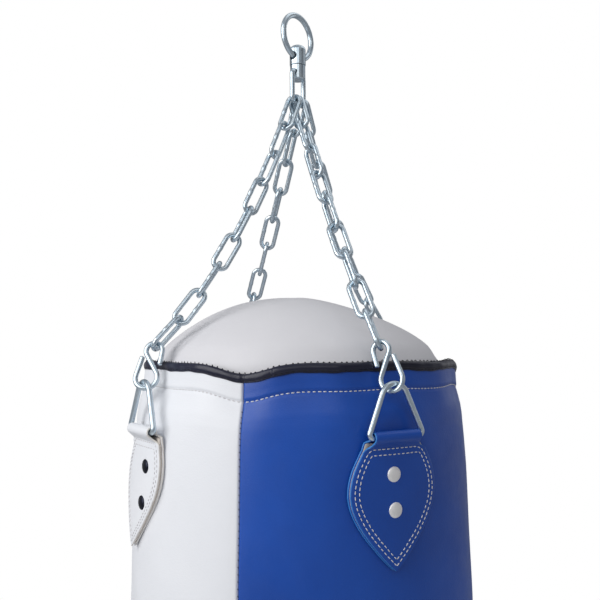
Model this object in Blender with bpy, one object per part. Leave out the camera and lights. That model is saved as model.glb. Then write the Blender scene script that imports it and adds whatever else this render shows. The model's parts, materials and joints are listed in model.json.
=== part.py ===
"""Hanging heavy bag: round bag body with four strap tabs, four chain legs and a swivel.

The origin is the inside top of the hanging ring, where a ceiling hook carries the bag.
+Z is up. Metres throughout. The four chain legs leave roughly towards -X, -Y, +Y and +X:
their azimuths are in LEGS.
"""
import math

import bmesh
import bpy
import numpy as np
from mathutils import Matrix, Vector

# ---------------------------------------------------------------- driving dimensions
CLEARANCE = 0.0003          # gap kept between two pieces that touch

RING_WIRE_R = 0.0031        # hanging ring
RING_R = 0.0239             # ring centre line
RING_YAW = math.radians(23.6)

HEAD_R = 0.0090             # swivel head, a domed barrel threaded on the ring
HEAD_TOP_Z = -0.0300
HEAD_BOTTOM_Z = -0.0533
RING_HOLE_R = 0.0048
RING_SAG_IN_HOLE = 0.0009   # the ring's arc rises by about twice this inside the head

BODY_R = 0.0085             # swivel body, the barrel that turns under the head
BODY_TOP_Z = HEAD_BOTTOM_Z - CLEARANCE
BODY_BOTTOM_Z = -0.0697
PIN_R = 0.0028              # rivet pin that joins head and body
PIN_FLANGE_R = 0.0046
PIN_BORE_R = 0.0031
PIN_CHAMBER_R = 0.0050
PIN_CHAMBER_TOP_Z = BODY_TOP_Z - 0.0024

MASTER_WIRE_R = 0.0027      # master link, which gathers the four chains
MASTER_HALF_WIDTH = 0.0145
MASTER_CORNER_R = 0.00485
MASTER_TOP_Z = -0.0618      # its upper bar runs through the swivel body
MASTER_HOLE_R = 0.0031
CROWN_Z = -0.0930           # height at which the chains hang on its lower bar
MASTER_YAW = math.radians(218.0)
CROWN_SLOT = 0.0054         # spacing of the four chains on the lower bar

LINK_WIRE_R = 0.0024        # long-link chain
LINK_PITCH = 0.0350
LINK_PLAY = 0.0007
LINK_HALF_WIDTH = 0.0074
LINKS_PER_LEG = 9

HOOK_WIRE_R = 0.0024        # S-hook
HOOK_LENGTH = 0.0406        # between its two contacts
HOOK_UPPER_R = 0.0079
HOOK_LOWER_R = 0.0105

D_WIRE_R = 0.00265          # D-ring
D_HALF_WIDTH = 0.0268
D_CROWN_R = 0.0140
D_FOOT_R = 0.0034
D_HEIGHT = 0.0427           # from the bar's centre line to the inside of the crown
D_RADIUS = 0.1820           # distance of the D-rings' bars from the bag's axis
D_BAR_Z = -0.4417
D_LEAN = math.radians(3.0)  # the chains pull the crowns inwards
D_PLAY = 0.0010             # slack between a D-ring and its hook

RIM_Z = -0.3790             # top edge of the collar beside the tabs
RIM_SAG = 0.0080            # how far the collar dips at the seams
RIM_PINCH = 0.0065          # how far the chains press the collar in behind the hooks
STITCH_Z = -0.4030          # collar stitch line
BASE_Z = -1.5800
LEATHER = 0.0025
BINDING_HEIGHT = 0.0085
BINDING_WALL = 0.0012
# outer profile of the shell: height, radius
SHELL_PROFILE = [
    (-0.3790, 0.1635), (-0.4030, 0.1650), (-0.4206, 0.1680), (-0.4517, 0.1715),
    (-0.4900, 0.1735), (-0.5600, 0.1755), (-0.6500, 0.1775), (-0.7500, 0.1780),
    (-1.5600, 0.1780), (-1.5720, 0.1745), (-1.5765, 0.1695),
]

DOME_TOP_Z = -0.3120
DOME_EDGE_R = 0.1505
DOME_SKIN = 0.0030
DOME_SKIRT_Z = STITCH_Z - 0.002

SEAM_SLIT = 0.0010           # radians left free at each side of a panel

TAB_THICKNESS = 0.0052      # two straps of leather with felt between them
TAB_LOOP_WALL = 0.0026
TAB_LOOP_HOLE_R = 0.0036
TAB_LEAN_START = 0.0135
TAB_LOOP_HALF_WIDTH = 0.0228
# outline of the tab below its loop: depth below the bar, half width
TAB_OUTLINE = [
    (0.0090, 0.0300), (0.0150, 0.0345), (0.0220, 0.0395), (0.0300, 0.0435),
    (0.0390, 0.0462), (0.0480, 0.0468), (0.0580, 0.0450), (0.0680, 0.0408),
    (0.0790, 0.0345), (0.0910, 0.0258), (0.1030, 0.0150), (0.1130, 0.0058),
    (0.1170, 0.0016),
]

# azimuths of the panel's two seams and of the tab in degrees, sideways slope of the tab's patch, slot
# on the master link, radius and sideways shift of the S-hook's upper contact, turn of each link
# against the one before, turn of the S-hook about its length
LEGS = {
    "left": {"seams": (135, 225), "azimuth": 187.5, "tab_lean": -0.27, "slot": 1.66, "hook_radius": 0.1650,
             "hook_shift": -0.0070, "lay": -80, "hook_roll": 131},
    "front": {"seams": (225, 326.25), "azimuth": 270, "tab_lean": -0.03, "slot": 0.565, "hook_radius": 0.1630,
              "hook_shift": -0.0040, "lay": -80, "hook_roll": 60},
    "back": {"seams": (45, 135), "azimuth": 90, "tab_lean": 0.0, "slot": -0.565, "hook_radius": 0.1655,
             "hook_shift": 0.0, "lay": 84, "hook_roll": 90},
    "right": {"seams": (-33.75, 45), "azimuth": 17, "tab_lean": 0.02, "slot": -1.66, "hook_radius": 0.1630,
              "hook_shift": 0.0, "lay": 91, "hook_roll": 57},
}

WIRE_SIDES = 6
ROUND_SEGMENTS = 32
CUTTER_LENGTH = 0.08
UP = Vector((0.0, 0.0, 1.0))


# ---------------------------------------------------------------- scene and materials
def clear_scene():
    for old in list(bpy.data.objects):
        bpy.data.objects.remove(old, do_unlink=True)


def material(name, colour, roughness, metallic=0.0):
    mat = bpy.data.materials.new(name)
    mat.use_nodes = True
    shader = mat.node_tree.nodes["Principled BSDF"]
    shader.inputs["Base Color"].default_value = (*colour, 1.0)
    shader.inputs["Roughness"].default_value = roughness
    shader.inputs["Metallic"].default_value = metallic
    return mat


def link_object(name, mesh, mat, matrix=Matrix.Identity(4)):
    obj = bpy.data.objects.new(name, mesh)
    if not mesh.materials:
        mesh.materials.append(mat)
    bpy.context.scene.collection.objects.link(obj)
    obj.matrix_world = matrix
    return obj


def finish_mesh(bm, name, sharp_degrees=40.0):
    bmesh.ops.recalc_face_normals(bm, faces=bm.faces)
    mesh = bpy.data.meshes.new(name)
    bm.to_mesh(mesh)
    bm.free()
    mesh.shade_smooth()
    mesh.set_sharp_from_angle(angle=math.radians(sharp_degrees))
    return mesh


def combine(target, other, operation):
    """Join or cut target with another object, which is then removed."""
    step = target.modifiers.new(operation.lower(), "BOOLEAN")
    step.operation = operation
    step.object = other
    bpy.context.view_layer.update()
    graph = bpy.context.evaluated_depsgraph_get()
    mesh = bpy.data.meshes.new_from_object(target.evaluated_get(graph))
    target.modifiers.clear()
    target.data = mesh
    bpy.data.objects.remove(other, do_unlink=True)


# ---------------------------------------------------------------- flat outlines
def arc(centre_x, centre_z, radius, start, end, steps):
    """Points on an arc in the XZ plane, from start to end degrees."""
    angles = np.radians(np.linspace(start, end, steps + 1))
    return [(centre_x + radius * math.cos(a), centre_z + radius * math.sin(a)) for a in angles]


def rounded_box(half_width, bottom, top, corner, steps):
    """Closed outline of a rectangle with round corners, counter-clockwise."""
    x = half_width - corner
    points = []
    for sign_x, z, start in ((1, bottom + corner, -90), (1, top - corner, 0),
                             (-1, top - corner, 90), (-1, bottom + corner, 180)):
        points += arc(sign_x * x, z, corner, start, start + 90, steps)
    return drop_repeats(points)


def drop_repeats(points):
    kept = [points[0]]
    for point in points[1:]:
        if math.dist(point, kept[-1]) > 1e-6:
            kept.append(point)
    if math.dist(kept[0], kept[-1]) < 1e-6:
        kept.pop()
    return kept


def tangent_angle(centre, radius, point, side):
    """Angle in degrees at which the tangent from a point touches a circle; side is +1 or -1."""
    dx, dz = point[0] - centre[0], point[1] - centre[1]
    opening = math.acos(radius / math.hypot(dx, dz))
    return math.degrees(math.atan2(dz, dx) + side * opening)


def sweep(name, path, radius, closed, sides=WIRE_SIDES):
    """Round wire along a flat path in the local XZ plane."""
    bm = bmesh.new()
    count = len(path)
    rings = []
    for i, (x, z) in enumerate(path):
        before = path[i - 1] if closed or i > 0 else path[i]
        after = path[(i + 1) % count] if closed or i < count - 1 else path[i]
        tangent = Vector((after[0] - before[0], 0.0, after[1] - before[1])).normalized()
        across = tangent.cross(Vector((0.0, 1.0, 0.0)))
        ring = []
        for k in range(sides):
            a = 2 * math.pi * (k + 0.5) / sides
            offset = across * math.cos(a) * radius + Vector((0.0, math.sin(a) * radius, 0.0))
            ring.append(bm.verts.new(Vector((x, 0.0, z)) + offset))
        rings.append(ring)
    for i in range(count if closed else count - 1):
        near, far = rings[i], rings[(i + 1) % count]
        for k in range(sides):
            bm.faces.new((near[k], near[(k + 1) % sides], far[(k + 1) % sides], far[k]))
    if not closed:
        bm.faces.new(rings[0])
        bm.faces.new(rings[-1])
    return finish_mesh(bm, name)


def revolve(name, profile, segments, height_shift=None, radius_shift=None, span=None):
    """Turn a closed profile of (radius, z) about Z; span limits it to part of a turn.

    height_shift(z, angle) and radius_shift(z, angle) are added to each point. Points with a
    radius of zero become one vertex, so a full turn closes on the axis.
    """
    bm = bmesh.new()
    full = span is None
    start, end = (0.0, 2 * math.pi) if full else span
    steps = segments if full else segments + 1
    columns = []
    poles = {}
    for j in range(steps):
        angle = start + (end - start) * j / segments
        column = []
        for i, (r, z) in enumerate(profile):
            if r == 0.0:
                if i not in poles:
                    poles[i] = bm.verts.new((0.0, 0.0, z))
                column.append(poles[i])
                continue
            rr = r + (radius_shift(z, angle) if radius_shift else 0.0)
            zz = z + (height_shift(z, angle) if height_shift else 0.0)
            column.append(bm.verts.new((rr * math.cos(angle), rr * math.sin(angle), zz)))
        columns.append(column)
    count = len(profile)
    for j in range(segments):
        near, far = columns[j], columns[(j + 1) % steps]
        for i in range(count):
            k = (i + 1) % count
            corners = [near[i], near[k], far[k], far[i]]
            unique = list(dict.fromkeys(corners))
            if len(unique) > 2:
                bm.faces.new(unique)
    if not full:
        bm.faces.new(columns[0])
        bm.faces.new(columns[-1])
    return finish_mesh(bm, name, sharp_degrees=50.0)


# ---------------------------------------------------------------- ring and swivel
def hanging_ring(zinc):
    centre = Vector((0.0, 0.0, -RING_R + RING_WIRE_R))
    mesh = sweep("top_ring", arc(0.0, 0.0, RING_R, 0.0, 345.0, 23), RING_WIRE_R, True, 8)
    return link_object("top_ring", mesh, zinc, Matrix.Translation(centre) @ yaw_matrix(RING_YAW))


def yaw_matrix(angle):
    return Matrix.Rotation(angle, 4, "Z")


def ring_hole_centre():
    """The point on the ring about which the swivel head rocks."""
    return Vector((0.0, 0.0, RING_WIRE_R - 2 * RING_R + RING_SAG_IN_HOLE))


def bar_cutter(centre, radius, yaw):
    """A long round bar along the yawed X axis, to drill a cross hole."""
    bm = bmesh.new()
    bmesh.ops.create_cone(bm, cap_ends=True, segments=16, radius1=radius, radius2=radius,
                          depth=CUTTER_LENGTH)
    bmesh.ops.rotate(bm, verts=bm.verts, matrix=Matrix.Rotation(math.pi / 2, 3, "Y"))
    mesh = finish_mesh(bm, "cutter")
    cutter = link_object("cutter", mesh, None, Matrix.Translation(centre) @ yaw_matrix(yaw))
    cutter.hide_render = True
    cutter.display_type = "WIRE"
    return cutter


def swivel_head(zinc):
    pivot = ring_hole_centre()
    dome = [(HEAD_R * math.cos(a), HEAD_TOP_Z - HEAD_R * 0.62 * (1 - math.sin(a)))
            for a in np.radians([0, 20, 40, 60, 78])]
    flange_z = PIN_CHAMBER_TOP_Z - CLEARANCE
    profile = [(0.0, flange_z - 0.0014), (PIN_FLANGE_R, flange_z - 0.0014), (PIN_FLANGE_R, flange_z),
               (PIN_R, flange_z), (PIN_R, HEAD_BOTTOM_Z), (HEAD_R - 0.0004, HEAD_BOTTOM_Z),
               (HEAD_R, HEAD_BOTTOM_Z + 0.0004)]
    profile += dome
    profile.append((0.0, HEAD_TOP_Z))
    local = [(r, z - pivot.z) for r, z in profile]
    head = link_object("swivel_head", revolve("swivel_head", local, 20), zinc,
                       Matrix.Translation(pivot))
    combine(head, bar_cutter(pivot, RING_HOLE_R, RING_YAW), "DIFFERENCE")
    return head


def swivel_body(zinc):
    top, bottom = BODY_TOP_Z, BODY_BOTTOM_Z
    profile = [(PIN_BORE_R, PIN_CHAMBER_TOP_Z), (PIN_CHAMBER_R, PIN_CHAMBER_TOP_Z),
               (PIN_CHAMBER_R, MASTER_TOP_Z), (0.0, MASTER_TOP_Z), (0.0, bottom),
               (BODY_R - 0.0012, bottom), (BODY_R, bottom + 0.0012),
               (BODY_R, top - 0.0004), (BODY_R - 0.0004, top), (PIN_BORE_R, top)]
    body = link_object("swivel_body", revolve("swivel_body", profile, 20), zinc)
    combine(body, bar_cutter(Vector((0.0, 0.0, MASTER_TOP_Z)), MASTER_HOLE_R, MASTER_YAW), "DIFFERENCE")
    return body


def master_link(zinc):
    bottom = CROWN_Z - MASTER_TOP_Z - MASTER_WIRE_R - CLEARANCE / 2
    path = rounded_box(MASTER_HALF_WIDTH, bottom, 0.0, MASTER_CORNER_R, 4)
    matrix = Matrix.Translation((0.0, 0.0, MASTER_TOP_Z)) @ yaw_matrix(MASTER_YAW)
    return link_object("master_link", sweep("master_link", path, MASTER_WIRE_R, True, 8), zinc, matrix)


# ---------------------------------------------------------------- chain legs
def hanging_tilts(span, drop):
    """Tilt from vertical of each link of a slack leg that covers a span and a drop.

    In a hanging chain the cotangent of the tilt falls by one step from link to link. The two
    unknowns, the last link's cotangent and the step, are found by Newton's method.
    """
    order = np.arange(LINKS_PER_LEG - 1, -1, -1)

    def miss(unknown):
        tilt = np.arctan2(1.0, unknown[0] + unknown[1] * order)
        reached = np.array([np.sin(tilt).sum(), np.cos(tilt).sum()]) * LINK_PITCH
        return reached - np.array([span, drop])

    guess = np.array([1.0, 0.2])
    for _ in range(40):
        error = miss(guess)
        slope = np.empty((2, 2))
        for k in range(2):
            nudge = np.zeros(2)
            nudge[k] = 1e-6
            slope[:, k] = (miss(guess + nudge) - error) / 1e-6
        guess = guess - np.linalg.solve(slope, error)
    return np.arctan2(1.0, guess[0] + guess[1] * order)


def frame_matrix(origin, width, down):
    """Local X along width, local Z up the piece, at origin."""
    axis_z = -down.normalized()
    axis_x = (width - axis_z * width.dot(axis_z)).normalized()
    axis_y = axis_z.cross(axis_x)
    rotation = Matrix((axis_x, axis_y, axis_z)).transposed().to_4x4()
    return Matrix.Translation(origin) @ rotation


def rolled(side, down, roll):
    """The horizontal side direction turned about the down direction."""
    return side * math.cos(roll) + down.cross(side) * math.sin(roll)


def d_ring_frame(outward):
    """The D-ring's up direction and the centre of its crown's wire."""
    up = UP * math.cos(D_LEAN) - outward * math.sin(D_LEAN)
    crown = outward * D_RADIUS + UP * D_BAR_Z + up * (D_HEIGHT + D_WIRE_R)
    return up, crown


def hook_ends(leg, outward, across):
    """Upper contact and direction of an S-hook whose lower loop holds the D-ring's crown."""
    ring_up, crown = d_ring_frame(outward)
    level = outward * leg["hook_radius"] + across * leg["hook_shift"]
    wires = HOOK_WIRE_R + D_WIRE_R + D_PLAY
    down = -UP
    for _ in range(6):
        between = (ring_up - down).normalized()
        bottom = crown - between * wires - down * (HOOK_WIRE_R + D_PLAY / 2)
        lean = Vector((bottom.x - level.x, bottom.y - level.y)).length
        top = level + UP * (bottom.z + math.sqrt(HOOK_LENGTH**2 - lean**2))
        down = (bottom - top).normalized()
    return top, down


def leg_geometry(leg):
    """Contacts, directions and rolls of one leg, from the master link to the S-hook."""
    azimuth = math.radians(leg["azimuth"])
    outward = Vector((math.cos(azimuth), math.sin(azimuth), 0.0))
    across = UP.cross(outward)
    hook_top, hook_down = hook_ends(leg, outward, across)
    crown_bar = Vector((math.cos(MASTER_YAW), math.sin(MASTER_YAW), 0.0))
    bar_r = MASTER_WIRE_R + LINK_PLAY / 2
    bar_centre = crown_bar * leg["slot"] * CROWN_SLOT + UP * (CROWN_Z - bar_r)
    wire = LINK_WIRE_R + LINK_PLAY / 2
    start, end = bar_centre + UP * bar_r, hook_top
    for _ in range(6):
        # each end rests where the round wires meet, which depends on the tilts
        level = Vector((end.x - start.x, end.y - start.y, 0.0))
        tilts = hanging_tilts(level.length, start.z - end.z)
        ahead = level.normalized()
        directions = [ahead * math.sin(tilt) - UP * math.cos(tilt) for tilt in tilts]
        first = directions[0] - crown_bar * directions[0].dot(crown_bar)
        start = bar_centre - first.normalized() * bar_r
        between = (directions[-1] + hook_down).normalized()
        end = hook_top + (between * 2 - directions[-1] - hook_down) * wire
    side = UP.cross(ahead)
    contacts = [start]
    for down in directions:
        contacts.append(contacts[-1] + down * LINK_PITCH)
    first_width = directions[0].cross(crown_bar)
    first_roll = math.atan2(first_width.dot(directions[0].cross(side)), first_width.dot(side))
    rolls = [first_roll + math.radians(leg["lay"]) * i for i in range(LINKS_PER_LEG)]
    return {"outward": outward, "across": across, "side": side, "contacts": contacts,
            "directions": directions, "rolls": rolls, "hook_top": hook_top, "hook_down": hook_down}


def link_mesh():
    half_length = LINK_PITCH / 2 + LINK_PLAY / 2 + LINK_WIRE_R
    path = rounded_box(LINK_HALF_WIDTH, -half_length, half_length, LINK_HALF_WIDTH, 3)
    return sweep("chain_link", path, LINK_WIRE_R, True)


def hook_mesh():
    """Open S-hook, flat, with its upper contact at the origin and its length down -Z."""
    upper = (0.0, HOOK_WIRE_R + LINK_PLAY / 2 - HOOK_UPPER_R)
    lower = (0.0, -HOOK_LENGTH - HOOK_WIRE_R - D_PLAY / 2 + HOOK_LOWER_R)
    crossing = math.degrees(math.asin((HOOK_UPPER_R + HOOK_LOWER_R) / (upper[1] - lower[1])))
    upper_end = (-0.0090, -0.0175)
    lower_end = (0.0096, -0.0135)
    upper_touch = tangent_angle(upper, HOOK_UPPER_R, upper_end, -1) + 360.0
    lower_touch = tangent_angle(lower, HOOK_LOWER_R, lower_end, -1)
    path = [upper_end] + arc(*upper, HOOK_UPPER_R, upper_touch, -crossing, 9)
    path += arc(*lower, HOOK_LOWER_R, 180.0 - crossing, 360.0 + lower_touch, 9) + [lower_end]
    return sweep("s_hook", drop_repeats(path), HOOK_WIRE_R, False)


def d_ring_mesh():
    """Triangular D-ring with a round crown; its bar lies on local X through the origin."""
    crown_z = D_HEIGHT + D_WIRE_R - D_CROWN_R
    foot_x = D_HALF_WIDTH - D_FOOT_R
    reach = math.hypot(foot_x, crown_z - D_FOOT_R)
    heading = math.degrees(math.atan2(D_FOOT_R - crown_z, foot_x))
    touch = heading + math.degrees(math.acos((D_CROWN_R - D_FOOT_R) / reach))
    path = arc(foot_x, D_FOOT_R, D_FOOT_R, -90.0, touch, 3)
    path += arc(0.0, crown_z, D_CROWN_R, touch, 180.0 - touch, 6)
    path += arc(-foot_x, D_FOOT_R, D_FOOT_R, 180.0 - touch, 270.0, 3)
    return sweep("d_ring", drop_repeats(path), D_WIRE_R, True)


def chain_legs(zinc):
    link, hook, ring = link_mesh(), hook_mesh(), d_ring_mesh()
    for name, leg in LEGS.items():
        geometry = leg_geometry(leg)
        side = geometry["side"]
        for i in range(LINKS_PER_LEG):
            down = geometry["directions"][i]
            middle = (geometry["contacts"][i] + geometry["contacts"][i + 1]) / 2
            width = rolled(side, down, geometry["rolls"][i])
            link_object(f"chain_{name}_link_{i + 1}", link, zinc, frame_matrix(middle, width, down))
        down = geometry["hook_down"]
        width = rolled(geometry["across"], down, math.radians(leg["hook_roll"]))
        link_object(f"s_hook_{name}", hook, zinc, frame_matrix(geometry["hook_top"], width, down))
        bar = geometry["outward"] * D_RADIUS + UP * D_BAR_Z
        ring_up, _ = d_ring_frame(geometry["outward"])
        link_object(f"d_ring_{name}", ring, zinc, frame_matrix(bar, geometry["across"], -ring_up))


# ---------------------------------------------------------------- bag body
def shell_radius(z):
    heights = [-point[0] for point in SHELL_PROFILE]
    radii = [point[1] for point in SHELL_PROFILE]
    return float(np.interp(-z, heights, radii))


def rim_share(z):
    """One at the collar's edge, falling to nothing at twice the stitch line's depth."""
    fade_end = 2 * STITCH_Z - RIM_Z
    return min(max((z - fade_end) / (RIM_Z - fade_end), 0.0), 1.0)


def rim_drop(z, angle):
    """The collar dips between the tabs."""
    return -RIM_SAG * rim_share(z) * ((1 - math.cos(4 * angle)) / 2) ** 2


def rim_pinch(z, angle):
    """The collar is pressed in at the tabs."""
    turns = [math.radians(leg["azimuth"]) - angle for leg in LEGS.values()]
    nearest = max(math.cos(turn) for turn in turns)
    return -RIM_PINCH * rim_share(z) * max(math.cos(4 * math.acos(min(nearest, 1.0))), 0.0)


def panels(white, blue):
    """Four side panels between the seams, with a slit at every seam."""
    outer = [(r, z) for z, r in SHELL_PROFILE]
    outer = [(r, z - BINDING_WALL - CLEARANCE) if z == RIM_Z else (r, z) for r, z in outer]
    inner = [(r - LEATHER, z) for r, z in reversed(outer)]
    for name, leg in LEGS.items():
        start, end = (math.radians(seam) for seam in leg["seams"])
        segments = round(ROUND_SEGMENTS * (end - start) / (2 * math.pi))
        mesh = revolve(f"panel_{name}", outer + inner, segments, height_shift=rim_drop,
                       radius_shift=rim_pinch, span=(start + SEAM_SLIT, end - SEAM_SLIT))
        link_object(f"panel_{name}", mesh, white if name in ("left", "right") else blue)


def collar_binding(binding):
    """A tape folded over the collar's top edge, as a ring with an upside-down U section."""
    bottom = RIM_Z - BINDING_HEIGHT
    under = RIM_Z - BINDING_WALL
    gap = 2 * CLEARANCE
    outer, inner = shell_radius(RIM_Z) + gap, shell_radius(RIM_Z) - LEATHER - gap
    flare = shell_radius(bottom) - shell_radius(RIM_Z)
    profile = [
        (outer + BINDING_WALL + flare, bottom), (outer + BINDING_WALL, RIM_Z - 0.0008), (outer, RIM_Z),
        (inner, RIM_Z), (inner - BINDING_WALL, RIM_Z - 0.0008), (inner - BINDING_WALL, bottom),
        (inner, bottom), (inner, under), (outer, under), (outer + flare, bottom),
    ]
    link_object("collar_binding", revolve("collar_binding", profile, ROUND_SEGMENTS,
                height_shift=rim_drop, radius_shift=rim_pinch), binding)


def dome_height(radius):
    """Height of the stuffed top at a distance from the axis; it falls faster near the edge."""
    return DOME_TOP_Z - 2.42 * radius**2 - 26000.0 * radius**8


def top_dome(white):
    radii = [0.04, 0.08, 0.11, 0.135, 0.145, DOME_EDGE_R]
    outer = [(0.0, DOME_TOP_Z)] + [(r, dome_height(r)) for r in radii] + [(DOME_EDGE_R, DOME_SKIRT_Z)]
    inner = [(DOME_EDGE_R - DOME_SKIN, DOME_SKIRT_Z)]
    inner += [(r, dome_height(r) - DOME_SKIN) for r in reversed(radii[:-1])] + [(0.0, DOME_TOP_Z - DOME_SKIN)]
    link_object("top_dome", revolve("top_dome", outer + inner, ROUND_SEGMENTS), white)


def filling(stuffing):
    """Packed textile stuffing under the dome and inside the panels."""
    lining = LEATHER + 0.0015
    under_dome = DOME_SKIN + 0.0008
    top_radii = [0.04, 0.08, 0.11, 0.135, 0.145]
    profile = [(0.0, DOME_TOP_Z - under_dome)] + [(r, dome_height(r) - under_dome) for r in top_radii]
    profile.append((DOME_EDGE_R - DOME_SKIN - 0.0008, DOME_SKIRT_Z - 0.0015))
    profile += [(r - lining, z) for z, r in SHELL_PROFILE[2:-1]]
    profile[-1] = (profile[-1][0], BASE_Z + 0.0090)
    profile += [(0.1640, BASE_Z + LEATHER + 0.0008), (0.0, BASE_Z + LEATHER + 0.0008)]
    link_object("filling", revolve("filling", profile, ROUND_SEGMENTS), stuffing)


def base_disc(blue):
    edge_r = SHELL_PROFILE[-1][1] - LEATHER - 0.0004
    profile = [(0.0, BASE_Z), (edge_r - 0.0010, BASE_Z), (edge_r, BASE_Z + 0.0010),
               (edge_r, BASE_Z + LEATHER), (0.0, BASE_Z + LEATHER)]
    link_object("base_disc", revolve("base_disc", profile, ROUND_SEGMENTS), blue)


# ---------------------------------------------------------------- strap tabs
def tab_plate():
    """Pointed patch that follows the shell's curve, built facing +X."""
    bm = bmesh.new()
    columns = 6
    layers = []
    for offset in (CLEARANCE + 0.0002, TAB_THICKNESS):
        grid = []
        for depth, half_width in TAB_OUTLINE:
            z = D_BAR_Z - depth
            radius = shell_radius(z) + offset
            row = []
            for k in range(columns + 1):
                angle = half_width * (2 * k / columns - 1) / radius
                row.append(bm.verts.new((radius * math.cos(angle), radius * math.sin(angle), z)))
            grid.append(row)
        layers.append(grid)
    rows = len(TAB_OUTLINE)
    for grid in layers:
        for j in range(rows - 1):
            for k in range(columns):
                bm.faces.new((grid[j][k], grid[j][k + 1], grid[j + 1][k + 1], grid[j + 1][k]))
    inner, outer = layers
    for j in range(rows - 1):
        for k in (0, columns):
            bm.faces.new((inner[j][k], inner[j + 1][k], outer[j + 1][k], outer[j][k]))
    for j in (0, rows - 1):
        for k in range(columns):
            bm.faces.new((inner[j][k], inner[j][k + 1], outer[j][k + 1], outer[j][k]))
    return finish_mesh(bm, "tab")


def tab_loop():
    """Strap folded round the D-ring's bar, with its tail down to the patch."""
    outer_r = TAB_LOOP_HOLE_R + TAB_LOOP_WALL
    tail_bottom = -0.0135
    section = arc(0.0, 0.0, outer_r, -60.0, 235.0, 14)
    section += [(-0.0080, tail_bottom), (-0.0035, tail_bottom)]
    bm = bmesh.new()
    ends = []
    for y in (-TAB_LOOP_HALF_WIDTH, TAB_LOOP_HALF_WIDTH):
        ends.append([bm.verts.new((D_RADIUS + x, y, D_BAR_Z + z)) for x, z in section])
    count = len(section)
    for k in range(count):
        bm.faces.new((ends[0][k], ends[0][(k + 1) % count], ends[1][(k + 1) % count], ends[1][k]))
    for end in ends:
        bm.faces.new(end)
    return finish_mesh(bm, "tab_loop")


def lean_patch(mesh, lean):
    """Skew a tab's patch sideways along the shell, more and more below the loop's tail."""
    for vertex in mesh.vertices:
        below = D_BAR_Z - vertex.co.z - TAB_LEAN_START
        if below > 0.0:
            vertex.co.rotate(yaw_matrix(lean * below / vertex.co.xy.length))


def strap_tabs(white, blue):
    """The four tabs share one shape, made once, skewed and turned to each leg's side."""
    pattern = link_object("tab_pattern", tab_plate(), white)
    combine(pattern, link_object("loop", tab_loop(), white), "UNION")
    hole = Vector((D_RADIUS, 0.0, D_BAR_Z))
    combine(pattern, bar_cutter(hole, TAB_LOOP_HOLE_R, math.pi / 2), "DIFFERENCE")
    for name, leg in LEGS.items():
        mesh = pattern.data.copy()
        mesh.materials.clear()
        lean_patch(mesh, leg["tab_lean"])
        turn = yaw_matrix(math.radians(leg["azimuth"]))
        link_object(f"tab_{name}", mesh, white if name in ("left", "right") else blue, turn)
    bpy.data.objects.remove(pattern, do_unlink=True)


# ---------------------------------------------------------------- assembly
def build():
    clear_scene()
    zinc = material("zinc_plate", (0.56, 0.60, 0.65), 0.30, 1.0)
    white = material("white_leather", (0.80, 0.81, 0.85), 0.55)
    blue = material("blue_leather", (0.02, 0.07, 0.33), 0.45)
    black = material("black_binding", (0.02, 0.02, 0.03), 0.5)
    stuffing = material("textile_stuffing", (0.45, 0.44, 0.42), 0.95)
    hanging_ring(zinc)
    swivel_head(zinc)
    swivel_body(zinc)
    master_link(zinc)
    chain_legs(zinc)
    panels(white, blue)
    collar_binding(black)
    top_dome(white)
    filling(stuffing)
    base_disc(blue)
    strap_tabs(white, blue)


build()
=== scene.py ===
"""Hanging heavy bag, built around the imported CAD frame. Metres, +Z up, origin at the ring's inside top."""

import json
import math
import random

import bmesh
import bpy
import numpy as np
from mathutils import Matrix, Quaternion, Vector


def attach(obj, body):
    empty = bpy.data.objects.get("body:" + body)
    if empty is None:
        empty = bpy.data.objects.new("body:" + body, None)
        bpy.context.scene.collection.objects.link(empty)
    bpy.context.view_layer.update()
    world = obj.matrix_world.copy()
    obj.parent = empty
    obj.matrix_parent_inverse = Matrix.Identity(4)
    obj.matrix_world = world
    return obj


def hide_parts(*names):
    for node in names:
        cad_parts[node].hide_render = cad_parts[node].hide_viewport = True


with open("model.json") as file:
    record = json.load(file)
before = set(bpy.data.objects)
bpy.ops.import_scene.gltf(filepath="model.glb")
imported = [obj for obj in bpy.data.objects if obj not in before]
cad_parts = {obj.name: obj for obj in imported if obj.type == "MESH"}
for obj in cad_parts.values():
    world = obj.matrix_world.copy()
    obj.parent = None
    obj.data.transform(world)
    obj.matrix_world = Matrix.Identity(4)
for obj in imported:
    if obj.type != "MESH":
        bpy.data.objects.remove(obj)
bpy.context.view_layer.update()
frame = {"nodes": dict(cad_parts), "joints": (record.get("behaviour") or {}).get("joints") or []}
JOINTS = {joint["name"]: joint for joint in frame["joints"]}
UP = Vector((0.0, 0.0, 1.0))

# ---------------------------------------------------------------- sizes taken over from the CAD model
# azimuths and turns in degrees
PANEL_SEAMS = {
    "left": (135.0, 225.0),
    "front": (225.0, 326.25),
    "back": (45.0, 135.0),
    "right": (-33.75, 45.0),
}
LEG_AZIMUTH = {"left": 187.5, "front": 270.0, "back": 90.0, "right": 17.0}
HOOK_ROLL = {"left": 131.0, "front": 60.0, "back": 90.0, "right": 57.0}
RING_WIRE_R = 0.0031
RING_R = 0.0239
RING_YAW = 23.6
MASTER_WIRE_R = 0.0027
MASTER_HALF_WIDTH = 0.0145
MASTER_CORNER_R = 0.00485
MASTER_TOP_Z = -0.0618
MASTER_BOTTOM_Z = -0.09585
MASTER_YAW = 218.0
LINK_WIRE_R = 0.0024
LINK_HALF_LENGTH = 0.02025
LINK_HALF_WIDTH = 0.0074
LINKS_PER_LEG = 9
HOOK_WIRE_R = 0.0024
HOOK_LENGTH = 0.0406
HOOK_UPPER_R = 0.0079
HOOK_LOWER_R = 0.0105
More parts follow.
